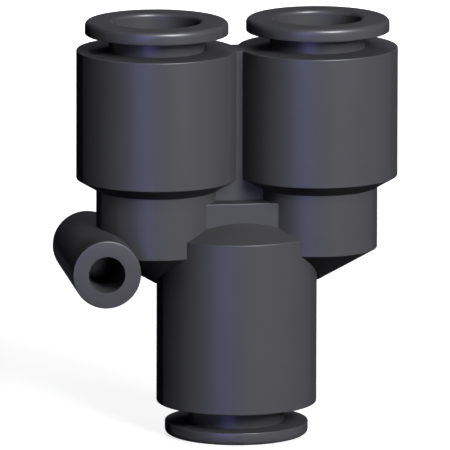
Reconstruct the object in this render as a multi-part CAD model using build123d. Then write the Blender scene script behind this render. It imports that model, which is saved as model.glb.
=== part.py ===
from build123d import *
import os
from math import cos, radians, sin, tan

# Push-in Y fitting for one tube size: two parallel ports at the top and one at the bottom.
# The origin is on the lower port's axis, on the free face of its release ring. +Z points up to the two
# upper ports, X runs from one to the other and the mounting hole runs along Y. All sizes are millimetres.

# Tube and the bores that meet it
tube_radius = 5.0
ring_bore_clearance = 0.1
socket_clearance = 0.075
claw_bite = 0.15
seal_squeeze = 0.15
passage_radius = 3.75
tube_stop_depth = 16.5

# Body moulding
port_gap = 0.2
body_length = 42.0
housing_wall = 1.5
upper_housing_length = 15.2
lower_housing_length = 20.2
neck_wall = 1.975
neck_length = 7.25
shoulder_angle = 30.0
neck_tip_radius = 0.15
crown_angle = 21.0
block_wall = 0.95
block_height = 4.1
web_thickness = 4.4
rim_bevel = 0.15

# Mounting sleeve
mount_hole_radius = 2.15
mount_sleeve_wall = 1.85
mount_sleeve_length = 19.5
mount_drop = 1.0

# Flow chamber between the three passages
chamber_roof = 2.0
window_height = 4.2
window_width = 3.4
window_lap = 0.3

# Release ring
flange_overhang = 0.5
flange_thickness = 1.5
flange_rounding = 0.55
mouth_rounding = 0.45
sleeve_wall = 0.5
ring_stand_out = 3.8
ring_play = 0.4
lip_height = 0.75
lip_ramp = 1.25
nose_reach = 2.6
slot_count = 4
slot_width = 0.9
slot_depth = 1.2
slot_turn = 45.0

# Retaining ring
lip_seat_depth = 3.2
retainer_length = 5.2
retainer_wall = 1.37
bead_height = 0.25
bead_length = 0.8
bead_depth = 1.8

# Grip ring
grip_thickness = 0.4
claw_root_margin = 0.1
claw_angle = 40.0
claw_count = 12
claw_gap = 0.6

# Spacer ring
spacer_length = 3.0
spacer_relief = 1.4
spacer_cone = 1.2
spacer_bore_clearance = 0.2

# Seal ring
seal_section = 2.0
seal_length = 2.0
seal_room = 0.3
seal_heel_length = 0.8
seal_heel_clearance = 0.25
seal_groove_depth = 1.1
seal_lip_land = 0.3

# Clearances
slide_clearance = 0.1
lip_clearance = 0.15
stop_clearance = 0.05
seat_clearance = 0.03

# Radii, from the tube outwards
socket_radius = tube_radius + socket_clearance
ring_bore_radius = tube_radius + ring_bore_clearance
sleeve_radius = ring_bore_radius + sleeve_wall
guide_radius = sleeve_radius + slide_clearance
lip_radius = sleeve_radius + lip_height
lip_room_radius = lip_radius + lip_clearance
insert_radius = lip_room_radius + retainer_wall
cartridge_radius = insert_radius + seat_clearance
housing_radius = cartridge_radius + housing_wall
port_pitch = 2 * housing_radius + port_gap
flange_radius = cartridge_radius + flange_overhang
neck_radius = socket_radius + neck_wall
claw_tip_radius = tube_radius - claw_bite
claw_root_radius = lip_room_radius + claw_root_margin
seal_inner_radius = tube_radius - seal_squeeze
seal_outer_radius = seal_inner_radius + seal_section
seal_bore_radius = seal_outer_radius + seat_clearance
mount_sleeve_radius = mount_hole_radius + mount_sleeve_wall
block_thickness = 2 * (passage_radius + block_wall)
window_reach = port_pitch / 4 + window_lap

# Levels, from the surface that the fitting stands on
lower_face = ring_stand_out
upper_face = lower_face + body_length
lower_rim = lower_face + lower_housing_length
upper_rim = upper_face - upper_housing_length
shoulder_drop = (housing_radius - neck_radius) * tan(radians(shoulder_angle))
neck_top = upper_rim - shoulder_drop
neck_rim = neck_top - neck_length
block_top = lower_rim + block_height
chamber_top = block_top - chamber_roof
window_floor = chamber_top - window_height

# Depths along a port's axis, from the housing's face
grip_depth = retainer_length
spacer_depth = grip_depth + grip_thickness
seal_depth = spacer_depth + spacer_length
socket_depth = seal_depth + seal_length + seal_room

# Each port has its depth axis pointing into the housing, from the middle of the housing's face
ports = {
    "left": Location(Plane((-port_pitch / 2, 0, upper_face), x_dir=(1, 0, 0), z_dir=(0, 0, -1))),
    "right": Location(Plane((port_pitch / 2, 0, upper_face), x_dir=(1, 0, 0), z_dir=(0, 0, -1))),
    "lower": Location(Plane((0, 0, lower_face), x_dir=(1, 0, 0), z_dir=(0, 0, 1))),
}

# The two upper rings rest on their claws and the lower ring hangs on its lip
ring_sink = {"left": ring_play, "right": ring_play, "lower": 0.0}


def turned(points):
    """A solid turned about Z from its half section, given as (radius, height) points."""
    return revolve(Plane.XZ * make_face(Polyline(*points, close=True)), Axis.Z)


def disc(radius, start, end):
    """A round bar on the Z axis between two heights."""
    return Pos(0, 0, start) * extrude(Circle(radius), end - start)


def slab(x_size, y_size, low, high):
    """A block centred on the Z axis between two heights."""
    return Pos(0, 0, low) * extrude(Rectangle(x_size, y_size), high - low)


def level_edges(solid, level):
    """The round edges that lie at one height."""
    return solid.edges().filter_by(GeomType.CIRCLE).filter_by_position(Axis.Z, level, level)


def upper_port_form():
    """Housing, sloping shoulder, neck and the cone under the neck, about the Z axis."""
    cone_tip = neck_rim - (neck_radius - neck_tip_radius) * tan(radians(shoulder_angle))
    form = turned([
        (0, cone_tip),
        (neck_tip_radius, cone_tip),
        (neck_radius, neck_rim),
        (neck_radius, neck_top),
        (housing_radius, upper_rim),
        (housing_radius, upper_face),
        (0, upper_face),
    ])
    return chamfer(level_edges(form, upper_face), rim_bevel)


def lower_port_form():
    """Lower housing with the shallow cone on its top."""
    crown_tip = lower_rim + housing_radius * tan(radians(crown_angle))
    form = turned([
        (0, lower_face),
        (housing_radius, lower_face),
        (housing_radius, lower_rim),
        (0, crown_tip),
    ])
    return chamfer(level_edges(form, lower_face), rim_bevel)


def mount_place():
    """The middle of the mounting sleeve, turned so that its axis runs along Y."""
    return Pos(-port_pitch / 2 - neck_radius, 0, neck_rim - mount_drop) * Rot(90, 0, 0)


def mount_sleeve():
    bar = disc(mount_sleeve_radius, -mount_sleeve_length / 2, mount_sleeve_length / 2)
    ends = bar.edges().filter_by(GeomType.CIRCLE)
    return mount_place() * chamfer(ends, rim_bevel)


def port_bore():
    """What is cut from a housing, in depth from its face: snap groove, cartridge, seal and socket bores."""
    bead_start = bead_depth - seat_clearance
    bead_end = bead_depth + bead_length + 2 * seat_clearance
    return turned([
        (0, -rim_bevel),
        (cartridge_radius, -rim_bevel),
        (cartridge_radius, bead_start),
        (cartridge_radius + bead_height, bead_start),
        (cartridge_radius, bead_end),
        (cartridge_radius, seal_depth),
        (seal_bore_radius, seal_depth),
        (seal_bore_radius, socket_depth),
        (socket_radius, socket_depth),
        (socket_radius, tube_stop_depth),
        (0, tube_stop_depth),
    ])


def lower_passage():
    """Round passage past the lower tube stop, with a flat slot that opens into both upper passages."""
    start = lower_face + tube_stop_depth
    slot = slab(2 * window_reach, window_width, start, chamber_top) & disc(window_reach, start, chamber_top)
    return disc(passage_radius, start, chamber_top) + slot


def upper_passage(side):
    """Round passage past an upper tube stop, with a flat slot towards the lower passage."""
    end = upper_face - tube_stop_depth
    slot = Pos(-side * window_reach / 2, 0, 0) * slab(window_reach, window_width, window_floor, end)
    slot = slot & disc(window_reach, window_floor, end)
    return Pos(side * port_pitch / 2, 0, 0) * (disc(passage_radius, window_floor, end) + slot)


def body():
    """The one-piece moulding."""
    form = lower_port_form()
    for side in (-1, 1):
        form += Pos(side * port_pitch / 2, 0, 0) * upper_port_form()
    form += slab(port_pitch, block_thickness, lower_rim, block_top)
    form += slab(port_pitch, web_thickness, lower_rim, upper_face)
    form += mount_sleeve()
    for place in ports.values():
        form -= place * port_bore()
    form -= lower_passage()
    for side in (-1, 1):
        form -= upper_passage(side)
    form -= mount_place() * disc(mount_hole_radius, -mount_sleeve_length, mount_sleeve_length)
    return form


def release_ring():
    """Flange, thin sleeve, snap lip and bevelled nose, in depth from the housing's face when fully out."""
    flange_top = -ring_stand_out
    flange_under = flange_top + flange_thickness
    lip_start = lip_seat_depth + stop_clearance
    lip_end = lip_start + lip_ramp
    nose_end = lip_start + nose_reach
    nose_bevel = sleeve_wall * tan(radians(claw_angle))
    ring = turned([
        (ring_bore_radius, flange_top),
        (flange_radius, flange_top),
        (flange_radius, flange_under),
        (sleeve_radius, flange_under),
        (sleeve_radius, lip_start),
        (lip_radius, lip_start),
        (sleeve_radius, lip_end),
        (sleeve_radius, nose_end - nose_bevel),
        (ring_bore_radius, nose_end),
    ])
    top_edges = level_edges(ring, flange_top).sort_by(SortBy.RADIUS)
    ring = fillet(top_edges[-1], flange_rounding)
    ring = fillet(level_edges(ring, flange_top).sort_by(SortBy.RADIUS)[0], mouth_rounding)
    slot = slab(2 * flange_radius, slot_width, slot_depth, nose_end + nose_reach)
    for turn in range(slot_count // 2):
        ring -= Rot(0, 0, slot_turn + turn * 360 / slot_count) * slot
    return ring


def retaining_ring():
    """Guide pushed into the housing's mouth, with a snap bead outside and a seat for the lip inside."""
    return turned([
        (guide_radius, 0),
        (insert_radius, 0),
        (insert_radius, bead_depth),
        (insert_radius + bead_height, bead_depth),
        (insert_radius, bead_depth + bead_length),
        (insert_radius, retainer_length),
        (lip_room_radius, retainer_length),
        (lip_room_radius, lip_seat_depth),
        (guide_radius, lip_seat_depth),
    ])


def grip_ring():
    """Flat rim and a cone of sprung claws that lean inwards and away from the mouth."""
    run = claw_root_radius - claw_tip_radius
    drop = run * tan(radians(claw_angle))
    skew_r = grip_thickness * sin(radians(claw_angle))
    skew_z = grip_thickness * cos(radians(claw_angle))
    tip = grip_depth + drop
    under_root = claw_tip_radius + skew_r + (tip + skew_z - spacer_depth) / tan(radians(claw_angle))
    ring = turned([
        (insert_radius, grip_depth),
        (claw_root_radius, grip_depth),
        (claw_tip_radius, tip),
        (claw_tip_radius + skew_r, tip + skew_z),
        (under_root, spacer_depth),
        (insert_radius, spacer_depth),
    ])
    gap_end = claw_root_radius + claw_gap / 2
    slot = Pos(gap_end / 2, 0, grip_depth) * extrude(Rectangle(gap_end, claw_gap), drop + spacer_length)
    slot += Pos(gap_end, 0, grip_depth) * extrude(Circle(claw_gap / 2), drop + spacer_length)
    for claw in range(claw_count):
        ring -= Rot(0, 0, claw * 360 / claw_count) * slot
    return ring


def spacer_ring():
    """Collar between the grip ring's rim and the step in the bore, hollowed where the claws bend."""
    bore_radius = tube_radius + spacer_bore_clearance
    cone_start = spacer_depth + spacer_relief
    return turned([
        (claw_root_radius + claw_gap / 2, spacer_depth),
        (insert_radius, spacer_depth),
        (insert_radius, seal_depth),
        (bore_radius, seal_depth),
        (bore_radius, cone_start + spacer_cone),
        (claw_root_radius + claw_gap / 2, cone_start),
    ])


def seal_ring():
    """Rubber lip seal behind the spacer, with its groove facing the pressure and its inner lip on the tube."""
    heel_radius = tube_radius + seal_heel_clearance
    groove_radius = (heel_radius + seal_outer_radius) / 2
    seal_end = seal_depth + seal_length
    return turned([
        (heel_radius, seal_depth),
        (seal_outer_radius, seal_depth),
        (seal_outer_radius, seal_end),
        (seal_outer_radius - seal_lip_land, seal_end),
        (groove_radius, seal_end - seal_groove_depth),
        (seal_inner_radius + seal_lip_land, seal_end),
        (seal_inner_radius, seal_end),
        (heel_radius, seal_depth + seal_heel_length),
    ])


def write(node, solid):
    export_step(solid, f"parts/{node}.step")


os.makedirs("parts", exist_ok=True)
write("body", body())
for port, place in ports.items():
    write(f"release_ring_{port}", place * Pos(0, 0, ring_sink[port]) * release_ring())
    write(f"retaining_ring_{port}", place * retaining_ring())
    write(f"grip_ring_{port}", place * grip_ring())
    write(f"spacer_ring_{port}", place * spacer_ring())
    write(f"seal_ring_{port}", place * seal_ring())
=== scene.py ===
import bpy
import bmesh
from math import cos, hypot, pi, radians, sin, tan
from mathutils import Matrix, Vector


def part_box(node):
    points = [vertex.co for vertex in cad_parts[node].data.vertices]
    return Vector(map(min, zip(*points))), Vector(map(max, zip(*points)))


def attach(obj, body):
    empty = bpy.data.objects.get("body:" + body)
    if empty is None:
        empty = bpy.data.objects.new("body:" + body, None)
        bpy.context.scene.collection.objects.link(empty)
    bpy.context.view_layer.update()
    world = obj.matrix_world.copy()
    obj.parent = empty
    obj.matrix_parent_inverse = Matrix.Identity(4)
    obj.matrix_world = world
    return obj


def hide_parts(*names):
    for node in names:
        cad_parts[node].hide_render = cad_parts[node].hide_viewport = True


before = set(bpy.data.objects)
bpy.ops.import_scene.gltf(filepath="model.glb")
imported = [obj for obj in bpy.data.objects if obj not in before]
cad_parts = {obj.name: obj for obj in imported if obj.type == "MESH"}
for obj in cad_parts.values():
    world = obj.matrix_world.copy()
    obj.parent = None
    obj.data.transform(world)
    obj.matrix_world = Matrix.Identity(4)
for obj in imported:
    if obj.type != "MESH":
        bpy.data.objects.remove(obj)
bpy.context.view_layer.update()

# Black push-in Y fitting: one moulding, a release ring in each mouth and the grip parts behind it.
# The frame says where things are. The dictionaries hold what a maker would set, in millimetres and degrees.
mm = 0.001
hair = 0.001  # points nearer than this are one point
turnSteps = {"form": 192, "bore": 160, "sleeve": 128, "hole": 96}
bevelSteps = {"small": 3, "large": 6, "slab": 2, "largeFrom": 0.3}
creaseAngle = 35
ports = ("left", "right", "lower")
bodyLow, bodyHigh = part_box("body")
ringBox = {port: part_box("release_ring_" + port) for port in ports}
portX = {port: (low.x + high.x) / 2 / mm for port, (low, high) in ringBox.items()}
upperFace = bodyHigh.z / mm
lowerFace = bodyLow.z / mm
print("frame loaded with", len(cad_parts), "nodes")


# Modelling by hand, one move at a time
def deselectAll():
    bpy.ops.object.select_all(action="DESELECT")


def chooseVerts(item, wanted):  # wanted(place in mm) says which vertices of the edited mesh are selected
    mesh = bmesh.from_edit_mesh(item.data)
    for vert in mesh.verts:
        vert.select_set(wanted(item.matrix_world @ vert.co / mm))
    mesh.select_flush_mode()
    bmesh.update_edit_mesh(item.data)


def settle(item, name):  # origin to the scene's, so that the place is in the mesh
    item.name = name
    item.data.name = name
    deselectAll()
    item.select_set(True)
    bpy.context.view_layer.objects.active = item
    bpy.ops.object.transform_apply(location=True, rotation=True, scale=True)
    return item


def near(place, corner, x):
    return hypot(place.x - x - corner[0], place.z - corner[1]) < hair


def turned(name, corners, x=0.0, steps=turnSteps["form"], rounded=None):
    # corners are (radius, height), rounded is {corner number: rounding}, and ends on the axis spin shut
    deselectAll()
    start = Vector((x + corners[0][0], 0, corners[0][1]))
    bpy.ops.mesh.primitive_plane_add(size=mm, location=start * mm)
    item = bpy.context.object
    bpy.ops.object.mode_set(mode="EDIT")
    bpy.ops.mesh.select_mode(type="VERT")
    bpy.ops.mesh.merge(type="CENTER")
    for before, after in zip(corners, corners[1:]):
        step = Vector((after[0] - before[0], 0, after[1] - before[1])) * mm
        bpy.ops.mesh.extrude_vertices_move(TRANSFORM_OT_translate={"value": step})
    if corners[0][0] > 0:
        ends = (corners[0], corners[-1])
        chooseVerts(item, lambda place: any(near(place, end, x) for end in ends))
        bpy.ops.mesh.edge_face_add()
    for number, size in (rounded or {}).items():
        chooseVerts(item, lambda place: near(place, corners[number], x))
        segments = bevelSteps["large" if size > bevelSteps["largeFrom"] else "small"]
        bpy.ops.mesh.bevel(offset=size * mm, offset_type="OFFSET", segments=segments, affect="VERTICES")
    bpy.ops.mesh.select_all(action="SELECT")
    bpy.ops.mesh.spin(steps=steps, angle=2 * pi, center=(x * mm, 0, 0), axis=(0, 0, 1))
    bpy.ops.mesh.select_all(action="SELECT")
    bpy.ops.mesh.remove_doubles(threshold=hair * mm)
    bpy.ops.mesh.normals_make_consistent(inside=False)
    bpy.ops.object.mode_set(mode="OBJECT")
    return settle(item, name)


def slab(name, xSize, ySize, low, high, edge=0.0):
    deselectAll()
    bpy.ops.mesh.primitive_cube_add(size=1, location=(0, 0, (low + high) / 2 * mm))
    item = bpy.context.object
    item.scale = (xSize * mm, ySize * mm, (high - low) * mm)
    settle(item, name)
    if edge:
        bpy.ops.object.mode_set(mode="EDIT")
        bpy.ops.mesh.select_mode(type="VERT")
        chooseVerts(item, lambda place: place.z > high - hair)
        bpy.ops.mesh.bevel(offset=edge * mm, segments=bevelSteps["slab"], affect="EDGES")
        bpy.ops.object.mode_set(mode="OBJECT")
    return item


def combine(item, other, operation):
    step = item.modifiers.new(other.name, "BOOLEAN")
    step.object = other
    step.operation = operation
    step.solver = "EXACT"
    deselectAll()
    bpy.context.view_layer.objects.active = item
    item.select_set(True)
    bpy.ops.object.modifier_apply(modifier=step.name)
    bpy.data.objects.remove(other)


def finishMesh(item):  # weighted normals let the long walls keep their own normal up to their edges
    deselectAll()
    item.select_set(True)
    bpy.context.view_layer.objects.active = item
    bpy.ops.object.mode_set(mode="EDIT")
    bpy.ops.mesh.select_all(action="SELECT")
    bpy.ops.mesh.remove_doubles(threshold=hair * mm)
    bpy.ops.object.mode_set(mode="OBJECT")
    bpy.ops.object.shade_smooth_by_angle(angle=radians(creaseAngle))
    step = item.modifiers.new("evenWalls", "WEIGHTED_NORMAL")
    step.keep_sharp = True
    bpy.ops.object.modifier_apply(modifier=step.name)


# Body moulding
moulding = {
    "housingRadius": bodyHigh.x / mm - portX["right"],
    "upperHousing": 15.2,
    "lowerHousing": 20.2,
    "neckRadius": 7.05,
    "neckLength": 7.25,
    "shoulderAngle": 30,
    "coneTip": 0.15,
    "crownAngle": 21,
    "blockThickness": 9.4,
    "blockHeight": 4.1,
    "webThickness": 4.4,
    "rim": 0.15,
    "edge": 0.08,
}
mount = {
    "radius": 4.0,
    "hole": 2.15,
    "length": (bodyHigh.y - bodyLow.y) / mm,
    "drop": 1.0,
    "rim": 0.15,
}
bore = {
    "cartridge": 7.9,
    "groove": 0.25,
    "grooveStart": 1.77,
    "grooveEnd": 2.66,
    "sealStart": 8.6,
    "sealEnd": 10.9,
    "seal": 6.88,
    "socket": 5.075,
    "stop": 16.5,
    "passage": 3.75,
}
chamber = {"roof": 2.0, "height": 4.2, "width": 3.4, "reach": 5.05}
cut = {"outside": 1, "lap": 0.5}  # how far a cutter runs on, out of the part and into the bore before it


def depthHeight(port, depth):  # a depth from the housing's face, as a height
    return lowerFace + depth if port == "lower" else upperFace - depth


def upperForm(port, size):
    rim = upperFace - size["upperHousing"]
    slope = tan(radians(size["shoulderAngle"]))
    neckTop = rim - (size["housingRadius"] - size["neckRadius"]) * slope
    neckRim = neckTop - size["neckLength"]
    tip = neckRim - (size["neckRadius"] - size["coneTip"]) * slope
    corners = [
        (0, upperFace),
        (size["housingRadius"], upperFace),
        (size["housingRadius"], rim),
        (size["neckRadius"], neckTop),
        (size["neckRadius"], neckRim),
        (size["coneTip"], tip),
        (0, tip),
    ]
    edges = {1: size["rim"], 2: size["edge"], 4: size["edge"]}
    return turned("housing", corners, portX[port], rounded=edges), neckRim


def lowerForm(size):
    rim = lowerFace + size["lowerHousing"]
    tip = rim + size["housingRadius"] * tan(radians(size["crownAngle"]))
    corners = [(0, lowerFace), (size["housingRadius"], lowerFace), (size["housingRadius"], rim), (0, tip)]
    return turned("lowerHousing", corners, rounded={1: size["rim"], 2: size["edge"]}), rim


def portBore(port, size):
    corners = [
        (0, -cut["outside"]),
        (size["cartridge"], -cut["outside"]),
        (size["cartridge"], size["grooveStart"]),
        (size["cartridge"] + size["groove"], size["grooveStart"]),
        (size["cartridge"], size["grooveEnd"]),
        (size["cartridge"], size["sealStart"]),
        (size["seal"], size["sealStart"]),
        (size["seal"], size["sealEnd"]),
        (size["socket"], size["sealEnd"]),
        (size["socket"], size["stop"]),
        (0, size["stop"]),
    ]
    outline = [(radius, depthHeight(port, depth)) for radius, depth in corners]
    return turned("bore", outline, portX[port], steps=turnSteps["bore"])


def rod(name, radius, low, high, x=0.0):
    corners = [(0, low), (radius, low), (radius, high), (0, high)]
    return turned(name, corners, x, steps=turnSteps["hole"])


def passageSlot(port, low, high, size):  # flat with round ends, only towards the middle at the upper ports
    item = rod("slot", size["reach"], low, high, portX[port])
    planes = [((0, side * size["width"] / 2 * mm, 0), (0, side, 0)) for side in (-1, 1)]
    if port != "lower":
        planes.append(((portX[port] * mm, 0, 0), (portX[port], 0, 0)))
    bpy.ops.object.mode_set(mode="EDIT")
    for place, outward in planes:
        bpy.ops.mesh.select_all(action="SELECT")
        bpy.ops.mesh.bisect(
            plane_co=place,
            plane_no=outward,
            use_fill=True,
            clear_outer=True,
            threshold=hair * mm,
        )
    bpy.ops.object.mode_set(mode="OBJECT")
    return item


def makeBody(size):
    item, rim = lowerForm(size)
    blockTop = rim + size["blockHeight"]
    for port in ("left", "right"):
        form, neckRim = upperForm(port, size)
        combine(item, form, "UNION")
    pitch = portX["right"] - portX["left"]
    combine(item, slab("block", pitch, size["blockThickness"], rim, blockTop, edge=size["edge"]), "UNION")
    combine(item, slab("web", pitch, size["webThickness"], rim, upperFace), "UNION")
    half = mount["length"] / 2
    sleeve = turned(
        "sleeve",
        [(0, -half), (mount["radius"], -half), (mount["radius"], half), (0, half)],
        steps=turnSteps["sleeve"],
        rounded={1: mount["rim"], 2: mount["rim"]},
    )
    hole = rod("hole", mount["hole"], -half - cut["outside"], half + cut["outside"])
    for part in (sleeve, hole):
        part.rotation_euler = (pi / 2, 0, 0)
        part.location = (bodyLow.x + mount["radius"] * mm, 0, (neckRim - mount["drop"]) * mm)
        settle(part, part.name)
    combine(item, sleeve, "UNION")
    for port in ports:
        combine(item, portBore(port, bore), "DIFFERENCE")
    chamberTop = blockTop - chamber["roof"]
    lowerStart = depthHeight("lower", bore["stop"]) - cut["lap"]
    upperStart = depthHeight("left", bore["stop"]) + cut["lap"]
    spans = {port: (chamberTop - chamber["height"], upperStart) for port in ("left", "right")}
    for port, (low, high) in {"lower": (lowerStart, chamberTop), **spans}.items():
        combine(item, rod("passage", bore["passage"], low, high, portX[port]), "DIFFERENCE")
        combine(item, passageSlot(port, low, high, chamber), "DIFFERENCE")
    combine(item, hole, "DIFFERENCE")
    finishMesh(item)
    item = settle(item, "bodyMoulding")
    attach(item, "root")
    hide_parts("body")
    return item


# Release rings
ring = {
    "bore": 5.1,
    "flange": 8.4,
    "thickness": 1.5,
    "outerRounding": 0.55,
    "mouthRounding": 0.45,
    "underEdge": 0.08,
    "sleeve": 5.6,
    "lip": 6.35,
    "lipStart": 7.05,
    "lipRamp": 1.25,
    "noseEnd": 9.65,
    "noseBevel": 0.42,
    "slotStart": 5.0,
    "slotWidth": 0.9,
    "slotTurns": (45, 135),
}


def makeRing(port, size):
    low, high = ringBox[port]
    free, inward = (low.z / mm, 1) if port == "lower" else (high.z / mm, -1)
    corners = [
        (size["bore"], 0),
        (size["flange"], 0),
        (size["flange"], size["thickness"]),
        (size["sleeve"], size["thickness"]),
        (size["sleeve"], size["lipStart"]),
        (size["lip"], size["lipStart"]),
        (size["sleeve"], size["lipStart"] + size["lipRamp"]),
        (size["sleeve"], size["noseEnd"] - size["noseBevel"]),
        (size["bore"], size["noseEnd"]),
    ]
    outline = [(radius, free + inward * depth) for radius, depth in corners]
    rounding = {0: size["mouthRounding"], 1: size["outerRounding"], 2: size["underEdge"]}
    item = turned("ring", outline, portX[port], rounded=rounding)
    slotDepths = (size["slotStart"], size["noseEnd"] + cut["outside"])
    slotLow, slotHigh = sorted(free + inward * depth for depth in slotDepths)
    for turn in size["slotTurns"]:
        slot = slab("slot", 2 * size["flange"], size["slotWidth"], slotLow, slotHigh)
        slot.rotation_euler = (0, 0, radians(turn))
        slot.location = (portX[port] * mm, 0, 0)
        combine(item, settle(slot, "slot"), "DIFFERENCE")
    finishMesh(item)
    item = settle(item, "releaseRing." + port)
    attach(item, "release_" + port)
    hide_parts("release_ring_" + port)
    return item


bodyPiece = makeBody(moulding)
print("body moulding made,", len(bodyPiece.data.polygons), "faces")
rings = [makeRing(port, ring) for port in ports]
print("release rings made,", len(rings[0].data.polygons), "faces each")


# Materials
class Wire:  # a shader socket that adds, takes away and multiplies like a number
    def __init__(self, tree, socket):
        self.tree = tree
        self.socket = socket

    def math(self, operation, left, right):
        return node(self.tree, "ShaderNodeMath", {"operation": operation}, {0: left, 1: right})

    def __add__(self, other):
        return self.math("ADD", self, other)

    __radd__ = __add__

    def __sub__(self, other):
        return self.math("SUBTRACT", self, other)

    def __rsub__(self, other):
        return self.math("SUBTRACT", other, self)

    def __mul__(self, other):
        return self.math("MULTIPLY", self, other)

    __rmul__ = __mul__


def node(tree, kind, settings, inputs, output=0):
    made = tree.nodes.new(kind)
    for name, value in settings.items():
        setattr(made, name, value)
    for name, value in inputs.items():
        plug(tree, value, made.inputs[name])
    return Wire(tree, made.outputs[output])


def plug(tree, value, socket):
    if isinstance(value, Wire):
        tree.links.new(value.socket, socket)
    else:
        socket.default_value = value


def noise(tree, size, detail=2.0):  # size is that of one speck, in millimetres
    place = node(tree, "ShaderNodeTexCoord", {}, {}, "Object")
    inputs = {"Vector": place, "Scale": 1 / (size * mm), "Detail": detail}
    return node(tree, "ShaderNodeTexNoise", {}, inputs, "Fac")


# metallic is an even sheen on the plastics, the same at every angle: it leaves their edges dark
charcoal = (0.098, 0.098, 0.108)
plastics = {
    "bodyPlastic": {"color": charcoal, "roughness": 0.42, "metallic": 0.09},
    "ringPlastic": {"color": charcoal, "roughness": 0.4, "metallic": 0.1},
    "guidePlastic": {"color": charcoal, "roughness": 0.42, "metallic": 0.09},
    "spacerPlastic": {"color": (0.05, 0.05, 0.055), "roughness": 0.5, "metallic": 0.09},
}
moulded = {"toneSize": 4.0, "toneDepth": 0.08, "toneDetail": 2.0, "polishSize": 1.2, "polishDepth": 0.06}
grain = {"size": 0.09, "detail": 1.0, "height": 0.0012}
steelStrip = {
    "color": (0.62, 0.62, 0.6),
    "toneSize": 0.2,
    "toneDepth": 0.2,
    "toneDetail": 3.0,
    "roughness": 0.32,
    "polishSize": 0.1,
    "polishDepth": 0.2,
    "metallic": 1.0,
}
rubber = {
    "color": (0.02, 0.02, 0.02),
    "toneSize": 0.5,
    "toneDepth": 0.4,
    "toneDetail": 3.0,
    "roughness": 0.575,
    "polishSize": 0.3,
    "polishDepth": 0.15,
    "metallic": 0.0,
}


def makeMaterial(name, size):  # tone and roughness vary about the values given
    material = bpy.data.materials.new(name)
    material.use_nodes = True
    tree = material.node_tree
    shader = tree.nodes["Principled BSDF"]
    tone = noise(tree, size["toneSize"], size["toneDetail"]) * size["toneDepth"] + (1 - size["toneDepth"] / 2)
    scaled = {0: size["color"], "Scale": tone}
    color = node(tree, "ShaderNodeVectorMath", {"operation": "SCALE"}, scaled, "Vector")
    plug(tree, color, shader.inputs["Base Color"])
    smoothest = size["roughness"] - size["polishDepth"] / 2
    polish = noise(tree, size["polishSize"]) * size["polishDepth"] + smoothest
    plug(tree, polish, shader.inputs["Roughness"])
    shader.inputs["Metallic"].default_value = size["metallic"]
    return material


def makePlastic(name, size):
    material = makeMaterial(name, {**moulded, **size})
    tree = material.node_tree
    shader = tree.nodes["Principled BSDF"]
    relief = {"Height": noise(tree, grain["size"], grain["detail"]), "Distance": grain["height"] * mm}
    plug(tree, node(tree, "ShaderNodeBump", {}, relief, "Normal"), shader.inputs["Normal"])
    shader.inputs["Specular IOR Level"].default_value = 0.0
    shader.inputs["Specular Tint"].default_value = (0, 0, 0, 1)
    return material


def paint(item, material):
    if len(item.material_slots) == 0:
        item.data.materials.append(material)
    for number in range(len(item.material_slots)):
        item.material_slots[number].material = material


plasticOf = {name: makePlastic(name, size) for name, size in plastics.items()}
steel = makeMaterial("springSteel", steelStrip)
seal = makeMaterial("sealRubber", rubber)
paint(bodyPiece, plasticOf["bodyPlastic"])
for item in rings:
    paint(item, plasticOf["ringPlastic"])
for port in ports:
    paint(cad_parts["retaining_ring_" + port], plasticOf["guidePlastic"])
    paint(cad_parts["spacer_ring_" + port], plasticOf["spacerPlastic"])
    paint(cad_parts["grip_ring_" + port], steel)
    paint(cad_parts["seal_ring_" + port], seal)
print("materials given")

# Stage
shot = {
    "aim": (-1.366, 0.187, 24.71),
    "azimuth": -7.795,
    "elevation": 10.735,
    "roll": 0.137,
    "distance": 1600.0,
    "fieldWidth": 52.707,
    "sensor": 36.0,
    "clip": (100, 10000),
}


def direction(azimuth, elevation):  # azimuth is measured from the front, towards the right
    azimuth, elevation = radians(azimuth), radians(elevation)
    return Vector((sin(azimuth) * cos(elevation), -cos(azimuth) * cos(elevation), sin(elevation)))


def placeCamera(view):
    back = direction(view["azimuth"], view["elevation"])
    bpy.ops.object.camera_add(location=(Vector(view["aim"]) + back * view["distance"]) * mm)
    camera = bpy.context.object
    camera.name = "camera"
    turn = (-back).to_track_quat("-Z", "Y").to_matrix() @ Matrix.Rotation(radians(view["roll"]), 3, "Z")
    camera.rotation_euler = turn.to_euler()
    camera.data.sensor_width = view["sensor"]
    camera.data.lens = view["sensor"] * view["distance"] / view["fieldWidth"]
    camera.data.clip_start = view["clip"][0] * mm
    camera.data.clip_end = view["clip"][1] * mm
    bpy.context.scene.camera = camera


# key and back light the plastic
# glint and window only shine, on the rounded rims and as a bluish streak along the walls
lampDistance = 700
lamps = {
    "key": {"azimuth": 26, "elevation": 24, "size": (300, 220), "watts": 3.95, "color": (0.98, 0.98, 1)},
    "back": {"azimuth": 176, "elevation": 30, "size": (250, 250), "watts": 2.2, "color": (1, 1, 1)},
    "glint": {"azimuth": 22, "elevation": 41, "size": (240, 120), "watts": 40, "color": (1, 1, 1)},
    "window": {"azimuth": -27, "elevation": 6, "size": (180, 240), "watts": 9.4, "color": (0.3, 0.3, 1)},
}
shineOnly = ("glint", "window")


def placeLamp(name, lamp):
    toward = direction(lamp["azimuth"], lamp["elevation"])
    place = Vector(shot["aim"]) + toward * lampDistance
    bpy.ops.object.light_add(type="AREA", location=place * mm)
    item = bpy.context.object
    item.name = name
    item.rotation_euler = (-toward).to_track_quat("-Z", "Y").to_euler()
    item.data.shape = "RECTANGLE"
    item.data.size, item.data.size_y = lamp["size"][0] * mm, lamp["size"][1] * mm
    item.data.energy = lamp["watts"]
    item.data.color = lamp["color"]
    item.visible_camera = False
    item.visible_diffuse = name not in shineOnly
    return item


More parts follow.
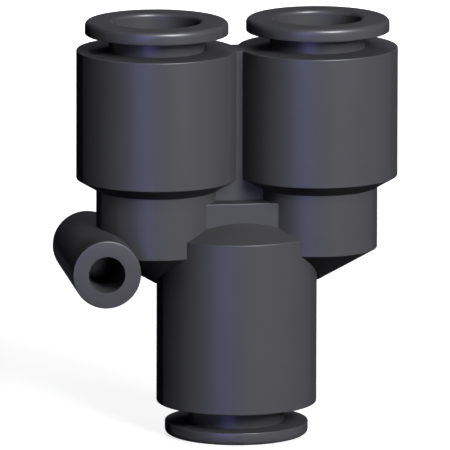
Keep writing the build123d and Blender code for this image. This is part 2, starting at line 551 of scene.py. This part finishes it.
def passOver(lamp, pieces):  # the lamp leaves these pieces out
    passed = bpy.data.collections.new(lamp.name + "Passes")
    for piece in pieces:
        passed.objects.link(piece)
    lamp.light_linking.receiver_collection = passed
    for entry in passed.collection_objects:
        entry.light_linking.link_state = "EXCLUDE"


def seenRays(tree):  # 1 for what the camera, a gloss or a clear material looks at
    paths = ("Is Camera Ray", "Is Glossy Ray", "Is Transmission Ray")
    camera, gloss, clear = (node(tree, "ShaderNodeLightPath", {}, {}, path) for path in paths)
    return camera.math("MAXIMUM", camera.math("MAXIMUM", camera, gloss), clear)


ambient = 0.03  # what the white surroundings give as light, where they are seen as 1


def makeWorld():
    world = bpy.data.worlds.new("studio")
    world.use_nodes = True
    bpy.context.scene.world = world
    tree = world.node_tree
    seen = seenRays(tree)
    plug(tree, seen * (1 - ambient) + ambient, tree.nodes["Background"].inputs["Strength"])
    tree.nodes["Background"].inputs["Color"].default_value = (1, 1, 1, 1)


def greyColor(tree, value):
    return node(tree, "ShaderNodeCombineColor", {}, {"Red": value, "Green": value, "Blue": value}, "Color")


# pale and dim are the floor's tone as seen and as it lights the part
# its own glow rises from near to far, so that it ends in white at low views too
floorPlate = {
    "radius": 3000,
    "sides": 96,
    "clearance": 0.01,
    "pale": 0.85,
    "dim": 0.02,
    "glow": 0.7,
    "near": 120,
    "far": 400,
}


def makeFloor(size):
    deselectAll()
    bpy.ops.mesh.primitive_circle_add(
        vertices=size["sides"],
        radius=size["radius"] * mm,
        fill_type="NGON",
        location=(0, 0, -size["clearance"] * mm),
    )
    item = bpy.context.object
    item.name = "floor"
    material = bpy.data.materials.new("paleFloor")
    material.use_nodes = True
    tree = material.node_tree
    shader = tree.nodes["Principled BSDF"]
    seen = seenRays(tree)
    shade = seen * (size["pale"] - size["dim"]) + size["dim"]
    plug(tree, greyColor(tree, shade), shader.inputs["Base Color"])
    shader.inputs["Roughness"].default_value = 1.0
    shader.inputs["Specular IOR Level"].default_value = 0.0
    place = node(tree, "ShaderNodeTexCoord", {}, {}, "Object")
    away = node(tree, "ShaderNodeVectorMath", {"operation": "LENGTH"}, {0: place}, "Value")
    span = {
        "Value": away,
        "From Min": size["near"] * mm,
        "From Max": size["far"] * mm,
        "To Min": size["glow"],
    }
    glow = seen * node(tree, "ShaderNodeMapRange", {"interpolation_type": "SMOOTHSTEP"}, span, "Result")
    plug(tree, greyColor(tree, glow), shader.inputs["Emission Color"])
    shader.inputs["Emission Strength"].default_value = 1.0
    item.data.materials.append(material)


placeCamera(shot)
lampItems = {name: placeLamp(name, lamp) for name, lamp in lamps.items()}
# bare steel would burn out in the glint
passOver(lampItems["glint"], [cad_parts["grip_ring_" + port] for port in ports])
makeWorld()
makeFloor(floorPlate)
bpy.context.scene.view_settings.view_transform = "Standard"
print("stage set")
